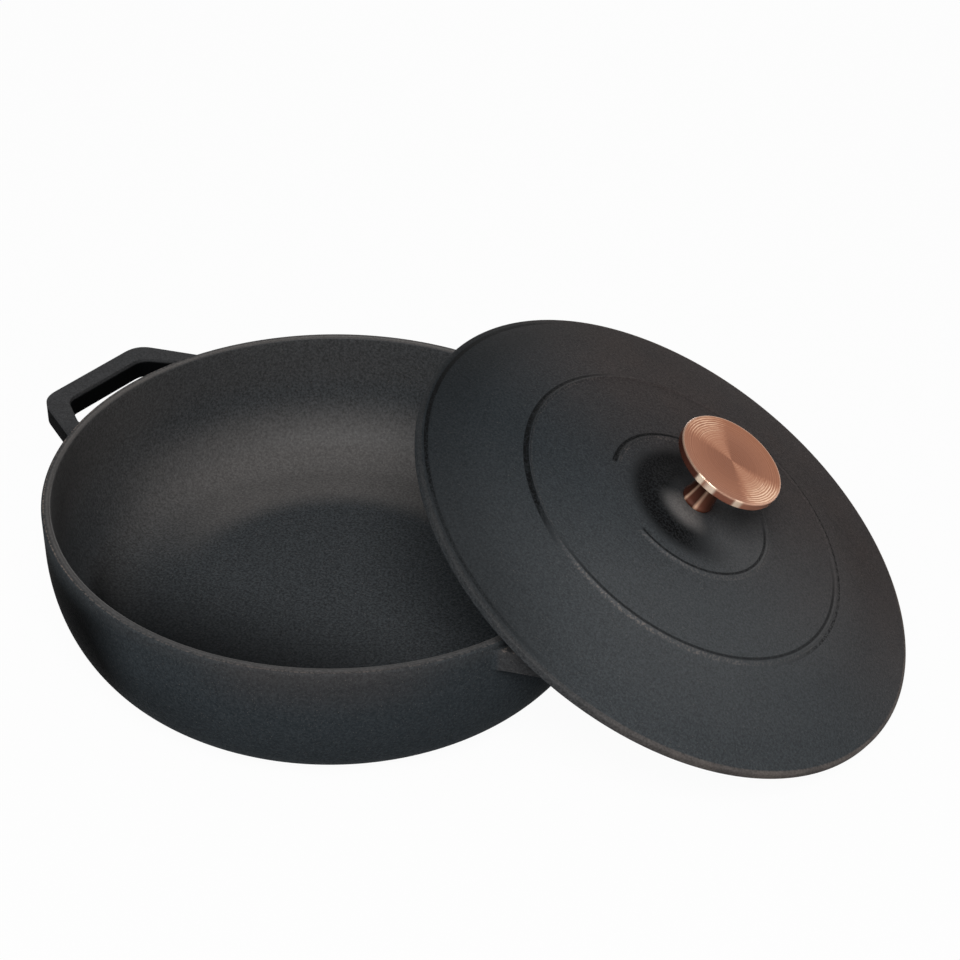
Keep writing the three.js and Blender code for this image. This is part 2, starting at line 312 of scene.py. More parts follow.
def split(t, where):
    """(x, y, z, distance from the Z axis) of a place."""
    x, y, z = (t.node("ShaderNodeSeparateXYZ", None, {0: where}, axis) for axis in "XYZ")
    return x, y, z, t.math("SQRT", x * x + y * y)


def towards(x, y, degrees):
    """How far a place lies in a direction in plan, counted in degrees from +X to +Y."""
    way = math.radians(degrees)
    return math.cos(way) * x + math.sin(way) * y


def upper_face(t):
    """1 on the points of a profile's upper face, 0 on the others."""
    return t.node("GeometryNodeInputNamedAttribute", {"data_type": "FLOAT"}, {"Name": UPPER})


def new_tree(name, inputs):
    """A Geometry Nodes tree with a mesh in and out, and its named inputs."""
    tree = bpy.data.node_groups.new(name, "GeometryNodeTree")
    tree.interface.new_socket("Geometry", in_out="INPUT", socket_type="NodeSocketGeometry")
    for label, kind, value in inputs:
        socket = tree.interface.new_socket(label, in_out="INPUT", socket_type=kind)
        if value is not None:
            socket.default_value = value
    tree.interface.new_socket("Geometry", in_out="OUTPUT", socket_type="NodeSocketGeometry")
    source = tree.nodes.new("NodeGroupInput")
    given = {socket.name: Term(tree, socket) for socket in source.outputs if socket.name}
    return tree, given


def end_tree(tree, mesh):
    Term(tree).node("NodeGroupOutput", None, {"Geometry": mesh})


def turned_tree():
    """Turns a profile, points of (radius, 0, height), about the Z axis."""
    tree, given = new_tree("Turned body", [("Segments", "NodeSocketInt", 128)])
    t = Term(tree)
    profile, segments = given["Geometry"], given["Segments"]
    size = {"component": "MESH"}
    count = t.node("GeometryNodeAttributeDomainSize", size, {"Geometry": profile}, "Point Count")
    columns = segments + 1
    grid = t.node("GeometryNodeMeshGrid", None, {"Vertices X": count, "Vertices Y": columns})
    index = t.node("GeometryNodeInputIndex")
    row = t.math("FLOOR", (index + 0.5) / columns)
    turn = (index - row * columns) * FULL_TURN / segments
    point = t.node(
        "GeometryNodeSampleIndex",
        {"data_type": "FLOAT_VECTOR", "domain": "POINT"},
        {"Geometry": profile, "Value": t.node("GeometryNodeInputPosition"), "Index": row},
    )
    upper = t.node(
        "GeometryNodeSampleIndex",
        {"data_type": "FLOAT", "domain": "POINT"},
        {"Geometry": profile, "Value": upper_face(t), "Index": row},
    )
    radius = t.node("ShaderNodeSeparateXYZ", None, {0: point}, "X")
    height = t.node("ShaderNodeSeparateXYZ", None, {0: point}, "Z")
    place = t.node(
        "ShaderNodeCombineXYZ",
        None,
        {"X": radius * t.math("COSINE", turn), "Y": radius * t.math("SINE", turn), "Z": height},
    )
    marked = t.node(
        "GeometryNodeStoreNamedAttribute",
        {"data_type": "FLOAT", "domain": "POINT"},
        {"Geometry": grid, "Name": UPPER, "Value": upper},
    )
    placed = t.node("GeometryNodeSetPosition", None, {"Geometry": marked, "Position": place})
    joined = t.node("GeometryNodeMergeByDistance", None, {"Geometry": placed, "Distance": SAME_PLACE})
    end_tree(tree, t.node("GeometryNodeSetShadeSmooth", None, {"Geometry": joined, "Shade Smooth": True}))
    return tree


def ring_tree():
    """Raises a ring with a gap on the upper face."""
    tree, given = new_tree(
        "Raised ring",
        [
            ("Radius", "NodeSocketFloat", 0.043),
            ("Width", "NodeSocketFloat", 0.0026),
            ("Height", "NodeSocketFloat", 0.0008),
            ("Gap", "NodeSocketFloat", 1.0),
            ("Gap at", "NodeSocketFloat", 4.0),
        ],
    )
    t = Term(tree)
    x, y, _, radius = split(t, t.node("GeometryNodeInputPosition"))
    off = t.math("ABSOLUTE", radius - given["Radius"]) / given["Width"] * 2
    crown = 0.5 + 0.5 * t.math("COSINE", t.math("MINIMUM", off, 1.0) * math.pi)
    away = t.math("COSINE", t.math("ARCTAN2", y, x) - given["Gap at"])
    run_out = 0.022
    shown = t.math("DIVIDE", t.math("COSINE", given["Gap"] / 2) - away, run_out, clamp=True)
    lift = t.node("ShaderNodeCombineXYZ", None, {"Z": given["Height"] * crown * shown * upper_face(t)})
    end_tree(tree, t.node("GeometryNodeSetPosition", None, {"Geometry": given["Geometry"], "Offset": lift}))
    return tree


def ripple_tree():
    """Cuts turned ripples into the upper face, deeper towards the edge."""
    tree, given = new_tree(
        "Turned ripples",
        [
            ("Pitch", "NodeSocketFloat", 0.00135),
            ("Depth", "NodeSocketFloat", 0.00005),
            ("Radius", "NodeSocketFloat", 0.0266),
        ],
    )
    t = Term(tree)
    _, _, _, radius = split(t, t.node("GeometryNodeInputPosition"))
    share = radius / given["Radius"]
    wave = 0.5 - 0.5 * t.math("COSINE", radius / given["Pitch"] * FULL_TURN)
    depth = given["Depth"] * wave * (0.10 + 0.90 * share.rise(0.5, 0.82)) * upper_face(t)
    drop = t.node("ShaderNodeCombineXYZ", None, {"Z": depth * -1})
    end_tree(tree, t.node("GeometryNodeSetPosition", None, {"Geometry": given["Geometry"], "Offset": drop}))
    return tree


def piece_tree(name, *steps):
    """Chains group trees on a profile and ends in Realize Instances and Set Material."""
    tree, given = new_tree(
        name, [("Segments", "NodeSocketInt", 128), ("Material", "NodeSocketMaterial", None)]
    )
    t = Term(tree)
    mesh = given["Geometry"]
    for group, values in steps:
        sockets = {"Geometry": mesh, **values}
        if "Segments" in [item.name for item in group.interface.items_tree]:
            sockets["Segments"] = given["Segments"]
        mesh = t.node("GeometryNodeGroup", {"node_tree": group}, sockets)
    realised = t.node("GeometryNodeRealizeInstances", None, {"Geometry": mesh})
    sockets = {"Geometry": realised, "Material": given["Material"]}
    end_tree(tree, t.node("GeometryNodeSetMaterial", None, sockets))
    return tree


def profile_object(name, points):
    """An edge chain of (radius, height, upper) points, in metres."""
    mesh = bpy.data.meshes.new(name)
    mesh.from_pydata([(r, 0.0, z) for r, z, _ in points], [(i, i + 1) for i in range(len(points) - 1)], [])
    upper = mesh.attributes.new(UPPER, "FLOAT", "POINT")
    upper.data.foreach_set("value", [u for _, _, u in points])
    made = bpy.data.objects.new(name, mesh)
    bpy.context.scene.collection.objects.link(made)
    return made


def face_outwards(mesh):
    """Merges doubles and turns every face outwards."""
    shape = bmesh.new()
    shape.from_mesh(mesh)
    bmesh.ops.remove_doubles(shape, verts=shape.verts, dist=SAME_PLACE)
    bmesh.ops.dissolve_degenerate(shape, edges=shape.edges, dist=NO_LENGTH)
    bmesh.ops.recalc_face_normals(shape, faces=shape.faces)
    shape.to_mesh(mesh)
    shape.free()


def grown(name, points, tree, segments, material, place=None):
    """Runs a Geometry Nodes tree on a profile and returns the finished plain mesh object."""
    source = profile_object(name + "_profile", points)
    modifier = source.modifiers.new("Shape", "NODES")
    modifier.node_group = tree
    keys = {item.name: item.identifier for item in tree.interface.items_tree if item.in_out == "INPUT"}
    modifier[keys["Segments"]] = segments
    modifier[keys["Material"]] = material
    ready = source.evaluated_get(bpy.context.evaluated_depsgraph_get())
    mesh = bpy.data.meshes.new_from_object(ready)
    mesh.name = name
    source.modifiers.remove(modifier)
    bpy.data.objects.remove(source)
    if place is not None:
        mesh.transform(place)
    face_outwards(mesh)
    if len(mesh.polygons) == 0:
        raise RuntimeError(f"{name} came out empty")
    if UPPER in mesh.attributes:
        mesh.attributes.remove(mesh.attributes[UPPER])
    finished = bpy.data.objects.new(name, mesh)
    bpy.context.scene.collection.objects.link(finished)
    if not mesh.materials:
        mesh.materials.append(material)
    return finished


def applied(made):
    """Turns live modifiers into plain mesh."""
    ready = made.evaluated_get(bpy.context.evaluated_depsgraph_get())
    mesh = bpy.data.meshes.new_from_object(ready)
    made.modifiers.clear()
    made.data = mesh
    return made


def arc(centre, radius, start, end, steps):
    """Points of an arc in the (radius, height) plane."""
    angles = np.linspace(start, end, steps + 1)
    return [(centre[0] + radius * math.cos(a), centre[1] + radius * math.sin(a)) for a in angles]


def quarter_ellipse(r0, z0, r1, z1, steps):
    """From (r0, z0), level, to (r1, z1), upright."""
    turns = np.linspace(0, math.pi / 2, steps + 1)
    return [(r0 + (r1 - r0) * math.sin(a), z1 + (z0 - z1) * math.cos(a)) for a in turns]


def level(r0, r1, z, steps):
    return [(r, z) for r in np.linspace(r0, r1, steps + 1)]


def upright(r, z0, z1, steps):
    return [(r, z) for z in np.linspace(z0, z1, steps + 1)]


def chain(*runs):
    """Joins runs of points, without repeated ones."""
    points = []
    for run in runs:
        for r, z in run:
            if not points or math.dist(points[-1], (r, z)) > SAME_PLACE:
                points.append((float(r), float(z)))
    return points


def bowl_profile(pot):
    """The pot's section, from the middle of the base out, up, over the rim and back to the middle."""
    inner = pot.rim_radius - pot.wall
    floor_radius = pot.base_radius - pot.floor_inset
    rim = pot.rim_round
    top = pot.height - rim
    outside = quarter_ellipse(pot.base_radius, 0, pot.rim_radius, pot.corner_height, steps=56)
    inside = quarter_ellipse(floor_radius, pot.base_thickness, inner, pot.corner_height, steps=56)
    return chain(
        level(0, pot.base_radius, 0, steps=24),
        outside,
        upright(pot.rim_radius, pot.corner_height, top, steps=8),
        arc((pot.rim_radius - rim, top), rim, 0, math.pi / 2, steps=8),
        level(pot.rim_radius - rim, inner + rim, pot.height, steps=6),
        arc((inner + rim, top), rim, math.pi / 2, math.pi, steps=8),
        upright(inner, top, pot.corner_height, steps=8),
        inside[::-1],
        level(floor_radius, 0, pot.base_thickness, steps=24),
    )


def softened(corners, steps):
    """A closed outline whose corners are rounded by a curve that starts a given reach away."""
    points = []
    count = len(corners)
    for i, (x, y, reach) in enumerate(corners):
        here = Vector((x, y))
        back = (Vector(corners[i - 1][:2]) - here).normalized()
        ahead = (Vector(corners[(i + 1) % count][:2]) - here).normalized()
        if reach <= 0:
            points.append(here)
            continue
        start, end = here + back * reach, here + ahead * reach
        for k in range(steps + 1):
            t = k / steps
            points.append(start * (1 - t) ** 2 + here * (2 * t * (1 - t)) + end * t ** 2)
    return points


def on_circle(x0, y0, x1, y1, radius):
    """Where the line through two points meets a circle about the origin, on the side of the first."""
    start, way = Vector((x0, y0)), Vector((x1 - x0, y1 - y0)).normalized()
    along = -start.dot(way)
    middle = start + way * along
    half = math.sqrt(radius ** 2 - middle.length_squared)
    ends = [middle + way * half, middle - way * half]
    return min(ends, key=lambda p: (p - start).length)


def handle_outline(pot):
    """The loop handle in plan, reaching along +X, with feet that run out into the wall."""
    overlap, depth, arm, fillet_room = 0.0006, 0.55, 0.72, 1.1
    skin = pot.rim_radius - overlap
    buried = pot.rim_radius - depth * pot.wall
    inner = pot.rim_radius - pot.wall
    root_x = math.sqrt(inner ** 2 - pot.handle_half_root ** 2)
    out = pot.rim_radius + pot.handle_reach
    inset = arm * pot.handle_bar
    bar = out - pot.handle_bar
    outer = on_circle(root_x + pot.wall, pot.handle_half_root, out, pot.handle_half_bar, skin)
    within = on_circle(
        root_x + pot.wall, pot.handle_half_root - inset, bar, pot.handle_half_bar - inset, skin
    )
    outer_end = math.atan2(outer.y, outer.x) + fillet_room * pot.root_fillet / skin
    gap_end = math.atan2(within.y, within.x) - fillet_room * pot.slit_fillet / skin

    def around(turn, radius):
        return (radius * math.cos(turn), radius * math.sin(turn), 0)

    inside = [
        (bar, pot.handle_half_bar - inset, 0.62 * pot.handle_round),
        (within.x, within.y, pot.slit_fillet),
        around(gap_end, skin),
        around(gap_end, buried),
    ]
    buried_arc = [around(turn, buried) for turn in np.linspace(gap_end, outer_end, 7)[1:]]
    foot = [
        around(outer_end, skin),
        (outer.x, outer.y, pot.root_fillet),
        (out, pot.handle_half_bar, pot.handle_round),
    ]
    right = [*inside, *buried_arc, *foot]
    left = [(x, -y, reach) for x, y, reach in reversed(right)]
    return softened([*left, *right][::-1], steps=8)


def handle_piece(pot):
    """One loop handle as a closed solid with rounded edges."""
    outline = handle_outline(pot)
    top = pot.height - pot.handle_drop
    shape = bmesh.new()
    verts = [shape.verts.new((p.x, p.y, top)) for p in outline]
    face = shape.faces.new(verts)
    grown_face = bmesh.ops.extrude_face_region(shape, geom=[face])
    moved = [g for g in grown_face["geom"] if isinstance(g, bmesh.types.BMVert)]
    bmesh.ops.translate(shape, verts=moved, vec=(0, 0, -pot.handle_thickness))
    bmesh.ops.recalc_face_normals(shape, faces=shape.faces)
    mesh = bpy.data.meshes.new("handle")
    shape.to_mesh(mesh)
    shape.free()
    made = bpy.data.objects.new("handle", mesh)
    bpy.context.scene.collection.objects.link(made)
    bevel = made.modifiers.new("Edge", "BEVEL")
    bevel.width = pot.handle_edge
    bevel.segments = 4
    bevel.limit_method = "ANGLE"
    bevel.angle_limit = math.radians(50)
    bevel.use_clamp_overlap = True
    return applied(made)


def lid_lean(lid):
    """Where the lid leans, from its own CAD node."""
    up = Vector((
        math.sin(lid.tilt) * math.cos(lid.heading),
        math.sin(lid.tilt) * math.sin(lid.heading),
        math.cos(lid.tilt),
    ))
    turn = Vector((0, 0, 1)).rotation_difference(up).to_matrix()
    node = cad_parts["lid"].data
    places = np.empty(len(node.vertices) * 3)
    node.vertices.foreach_get("co", places)
    flat = places.reshape(-1, 3) @ np.array(turn)
    low, high = flat.min(0), flat.max(0)
    centre = (low + high) / 2
    centre[2] = low[2] + lid.edge + lid.rib_depth
    return Matrix.Translation(turn @ Vector(centre)) @ turn.to_4x4()


def seat_height(lid):
    return lid.dome_height + lid.hill_height - lid.seat_drop


def lid_top(lid, r):
    """Height of the lid's upper face, without rings."""
    dome = lid.dome_height * (1 - (r / lid.radius) ** lid.dome_power)
    dip = lid.dome_height - lid.seat_drop + lid.seat_drop * r / lid.hill_radius
    base = min(dome, dip)
    t = min(max((lid.hill_radius - r) / (lid.hill_radius - lid.seat_radius), 0), 1)
    return base + (seat_height(lid) - base) * t * t * (3 - 2 * t)


def lid_under(lid, r):
    """Height of the lid's lower face inside its rib."""
    dome = lid.dome_height * (1 - (r / lid.radius) ** lid.dome_power) - lid.thickness
    boss = 1.45 * lid.thickness
    return min(dome, seat_height(lid) - boss)


def lid_profile(lid):
    """The lid's section as (radius, height, upper face or not)."""
    rib_slope, rib_round, rib_side, corner = 0.005, 0.0006, 0.0008, 0.0003
    rib_in = lid.rib_radius - lid.rib_width
    shoulder = rib_in - rib_slope
    edge, low = lid.edge_round, -lid.edge
    foot = low - lid.rib_depth + rib_round
    down, outwards, up = 1.5 * math.pi, 2 * math.pi, math.pi / 2
    under = chain(
        [(r, lid_under(lid, r)) for r in np.linspace(lid.hole, shoulder, 50)],
        [(rib_in, low - lid.rib_depth * 0.85)],
        arc((rib_in + rib_side, foot), rib_round, 1.1 * math.pi, down, steps=3),
        arc((lid.rib_radius - rib_side, foot), rib_round, down, outwards, steps=3),
        [(lid.rib_radius, low - corner), (lid.rib_radius + corner, low)],
        arc((lid.radius - edge, low + edge), edge, down, outwards, steps=5),
        upright(lid.radius, low + edge, -edge, steps=4),
        arc((lid.radius - edge, -edge + lid_top(lid, lid.radius - edge)), edge, 0, up, steps=5),
    )
    half = lid.ring_width / 2
    runs = (
        (lid.radius - edge, 34),
        (lid.outer_ring + half, 17),
        (lid.outer_ring - half, 26),
        (lid.inner_ring + half, 17),
        (lid.inner_ring - half, 14),
        (lid.hill_radius, 28),
        (lid.seat_radius, 8),
        (lid.hole, 0),
    )
    stops = [np.linspace(start, end, count) for (start, count), (end, _) in zip(runs, runs[1:])]
    top = []
    for r in np.unique(np.concatenate(stops))[::-1]:
        off = min(abs(r - lid.outer_ring) / half, 1)
        top.append((r, lid_top(lid, r) + lid.ring_height * (0.5 + 0.5 * math.cos(math.pi * off)), 1.0))
    points = [(r, z, 0.0) for r, z in under]
    if math.dist(points[-1][:2], top[0][:2]) < SAME_PLACE:
        points.pop()
    points += top
    return [*points, points[0]]


def smooth_through(points, steps):
    """A smooth curve that passes through every given point."""
    curve = []
    padded = [points[0], *points, points[-1]]
    for a, b, c, d in zip(padded, padded[1:], padded[2:], padded[3:]):
        for t in np.linspace(0, 1, steps + 1)[:-1]:
            curve.append(tuple(
                0.5 * (
                    2 * q
                    + (s - p) * t
                    + (2 * p - 5 * q + 4 * s - u) * t ** 2
                    + (3 * q - p - 3 * s + u) * t ** 3
                )
                for p, q, s, u in zip(a, b, c, d)
            ))
    return [*curve, points[-1]]


def knob_profile(knob, foot):
    """The knob's section, from the foot's middle out, up the stem, over the disc to its middle."""
    foot_round, under_round, lip_round = 0.0003, 0.0008, 0.00045
    top = foot + knob.height
    bottom = top - knob.edge
    waist = knob.waist_radius
    stem = [
        (knob.base_radius, foot + 0.0012),
        (waist + 0.0013, foot + 0.004),
        (waist + 0.0005, foot + 0.009),
        (waist + 0.0004, foot + 0.014),
        (waist + 0.0018, foot + 0.0185),
        (waist + 0.0052, foot + 0.0225),
        (knob.radius * 0.62, bottom - 0.0018),
        (knob.radius - 0.0012, bottom - 0.0005),
    ]
    foot_edge = knob.base_radius - foot_round
    lip = knob.radius - lip_round
    side = chain(
        [(0, foot)],
        level(0.001, foot_edge, foot, steps=4),
        arc((foot_edge, foot + foot_round), foot_round, -math.pi / 2, 0, steps=3),
        smooth_through(stem, steps=8),
        arc((knob.radius - under_round, bottom + 0.0003), under_round, -math.pi / 3, 0, steps=4),
        upright(knob.radius, bottom + 0.0006, top - lip_round, steps=4),
        arc((lip, top - lip_round), lip_round, 0, math.pi / 2, steps=5),
    )
    face = [
        (r, top - knob.dish * (1 - (r / lip) ** 6), 1.0) for r in np.linspace(lip - 0.0001, 0, 210)
    ]
    return [*[(r, z, 0.0) for r, z in side], *face]


def new_material(name):
    material = bpy.data.materials.new(name)
    material.use_nodes = True
    material.node_tree.nodes.clear()
    return material, Term(material.node_tree)


def end_material(t, settings):
    shader = t.node("ShaderNodeBsdfPrincipled", None, settings)
    t.node("ShaderNodeOutputMaterial", None, {"Surface": shader})


def local_place(t, lean):
    """Object coordinates, turned into a piece's own frame where it has one."""
    where = t.node("ShaderNodeTexCoord", None, None, "Object")
    if lean is None:
        return where
    return t.node(
        "ShaderNodeMapping",
        {"vector_type": "TEXTURE"},
        {"Vector": where, "Location": lean.to_translation(), "Rotation": lean.to_euler()},
    )


def noise(t, where, scale, detail, rough):
    return t.node(
        "ShaderNodeTexNoise",
        {"noise_dimensions": "3D"},
        {"Vector": where, "Scale": scale, "Detail": detail, "Roughness": rough},
    )


def iron_material(name, finish, pale_tone, lean, marks, size, soft):
    """Black cast iron: sand grain, soft mottling, brown, pale, worn and blackened places; many of these
    places are painted light and shade.
    """
    material, t = new_material(name)
    where = local_place(t, lean)
    grain = noise(t, where, scale=size, detail=3.0, rough=0.6)
    fine = noise(t, where, scale=2.8 * size, detail=2.0, rough=0.5)
    mottle = noise(t, where, scale=46, detail=3.0, rough=0.5)
    mark = marks(t, *split(t, where), grain)
    middle = 0.51
    sand = (0.7 * grain + 0.3 * fine).rise(middle - soft, middle + soft)
    grained = 0.5 + (sand - 0.5) * (1 - mark["even"])
    iron = grained.mix(finish.iron_dark, finish.iron_light)
    brown = grained.mix([0.36 * c for c in finish.iron_brown], finish.iron_brown)
    pale = grained.mix([0.55 * c for c in pale_tone], pale_tone)
    patchy = (0.5 * grain + 0.5 * mottle).rise(0.32, 0.64)
    bare = patchy.mix([0.45 * c for c in finish.worn], finish.worn)
    # Brown, pale and worn places, partly painted light; blackened places, mostly painted shade.
    tone = (mark["brown"] * (0.55 + 0.45 * mottle)).mix(iron, brown)
    tone = mark["pale"].mix(tone, pale)
    specks = 0.5 * fine.rise(0.68, 0.75)
    tone = specks.mix(tone, finish.worn)
    tone = mark["worn"].mix(tone, bare)
    tone = mark["soot_and_shade"].mix(tone, finish.soot_and_shade)
    rough = 0.62 - 0.10 * grained
    height = 0.6 * grain + 0.25 * fine + 0.6 * mottle
    bump = t.node("ShaderNodeBump", None, {"Strength": 0.8, "Distance": 0.0008, "Height": height})
    end_material(
        t,
        {
            "Base Color": tone,
            "Roughness": rough,
            "Specular IOR Level": 0.003,
            "Coat Weight": mark["oiled"] * (0.6 + 0.4 * mottle),
            "Coat Roughness": 0.46,
            "Coat IOR": 1.35,
            "Normal": bump,
        },
    )
    return material


def copper_material(name, knob, lean, foot):
    """Copper-coloured metal: turned rings with two fans on top, a polished edge and stem.

    The two bright fans on top and the stripes on edge and stem are painted reflections in the colour, and
    the bright line round the lip is a painted highlight.
    """
    material, t = new_material(name)
    where = local_place(t, lean)
    x, y, z, r = split(t, where)
    around = t.math("ARCTAN2", y, x)
    top = foot + knob.height
    face = z.rise(top - 0.0019, top - 0.0012) * r.rise(knob.radius - 0.0003, knob.radius - 0.0008)
    stem = z.rise(top - knob.edge - 0.0010, top - knob.edge - 0.0022)
    share = r / knob.radius
    outwards = t.node("ShaderNodeCombineXYZ", None, {"X": r})
    lines = noise(t, outwards, scale=3000, detail=3.0, rough=0.7)
    stretched = t.node("ShaderNodeCombineXYZ", None, {"X": r, "Y": 0.004 * around})
    broken = noise(t, stretched, scale=1500, detail=2.0, rough=0.6)
    # Two bright fans across the top, fixed at given angles: painted reflections.
    swing = around + 0.5 * (broken - 0.5)
    upper, lower = (t.math("COSINE", swing - at).rise(0.78, 1.0) for at in PAINTED_FANS_AT)
    fan_highlight = upper + lower
    wave = 0.5 + 0.5 * t.math("COSINE", r / knob.ripple_pitch * FULL_TURN + 5.0 * broken)
    ripple = (0.15 + 0.85 * share.rise(0.50, 0.88)) * (0.18 + 0.82 * fan_highlight) * (wave - 0.5)
    outer = share.rise(0.35, 0.85) * (0.3 + 0.7 * fan_highlight)
    # Brightness of the top: real turned lines and ripples, with painted reflections in the fans and towards
    # the edge.
    painted_sheen = (
        0.34
        + 0.28 * fan_highlight
        + 0.14 * lower * share.rise(0.45, 0.90)
        - 0.03 * upper
        + 0.45 * ripple
        + (0.9 + 1.2 * outer) * (lines - 0.5)
        + 0.12 * share.rise(0.2, 0.9)
    )
    disc = t.node("ShaderNodeValToRGB", {"stops": COPPER_FACE_SHEEN}, {"Fac": painted_sheen})
    # Edge and stem colours by angle round the axis: painted reflections.
    turn = around / FULL_TURN + 0.5
    rim = t.node("ShaderNodeValToRGB", {"stops": COPPER_EDGE_REFLECTIONS}, {"Fac": turn})
    stem_reflections = t.node("ShaderNodeValToRGB", {"stops": COPPER_STEM_REFLECTIONS}, {"Fac": turn})
    # A bright line round the lip: painted highlight.
    lip = z.rise(top - 0.0012, top - 0.0004) * r.rise(knob.radius - 0.0010, knob.radius - 0.0006)
    tone = (0.25 * lip).mix(face.mix(stem.mix(rim, stem_reflections), disc), COPPER_FACE_SHEEN[-1][1])
    rough = 0.16 + face * (0.20 + 0.08 * lines)
    cut = face * (lines + wave)
    bump = t.node("ShaderNodeBump", None, {"Strength": 0.5, "Distance": 0.00006, "Height": cut})
    end_material(
        t,
        {
            "Base Color": tone,
            "Metallic": 0.30 + 0.70 * face,
            "Roughness": rough,
            "Specular IOR Level": 0.2,
            "Normal": bump,
        },
    )
    return material


def steel_material(name, finish, tint):
    """Plain zinc-bright steel with fine turning marks and a little dulling."""
    material, t = new_material(name)
    where = t.node("ShaderNodeTexCoord", None, None, "Object")
    dull = noise(t, where, scale=420, detail=3.0, rough=0.55)
    scratch = noise(t, where, scale=3600, detail=2.0, rough=0.6)
    bright = tuple(tint * c for c in finish.steel)
    dark = tuple(0.62 * c for c in bright)
    tone = (0.6 * dull + 0.4 * scratch).rise(0.30, 0.68).mix(dark, bright)
    rough = 0.28 + 0.22 * dull
    bump = t.node("ShaderNodeBump", None, {"Strength": 0.25, "Distance": 0.00005, "Height": scratch})
    end_material(t, {"Base Color": tone, "Metallic": 1.0, "Roughness": rough, "Normal": bump})
    return material


def looked_at(t):
    """1 where the camera, a reflection or glass looks, 0 where a surface only lights others."""
    rays = ("Is Camera Ray", "Is Glossy Ray", "Is Transmission Ray")
    camera, glossy, clear = (t.node("ShaderNodeLightPath", None, None, ray) for ray in rays)
    return t.math("MAXIMUM", t.math("MAXIMUM", camera, glossy), clear)


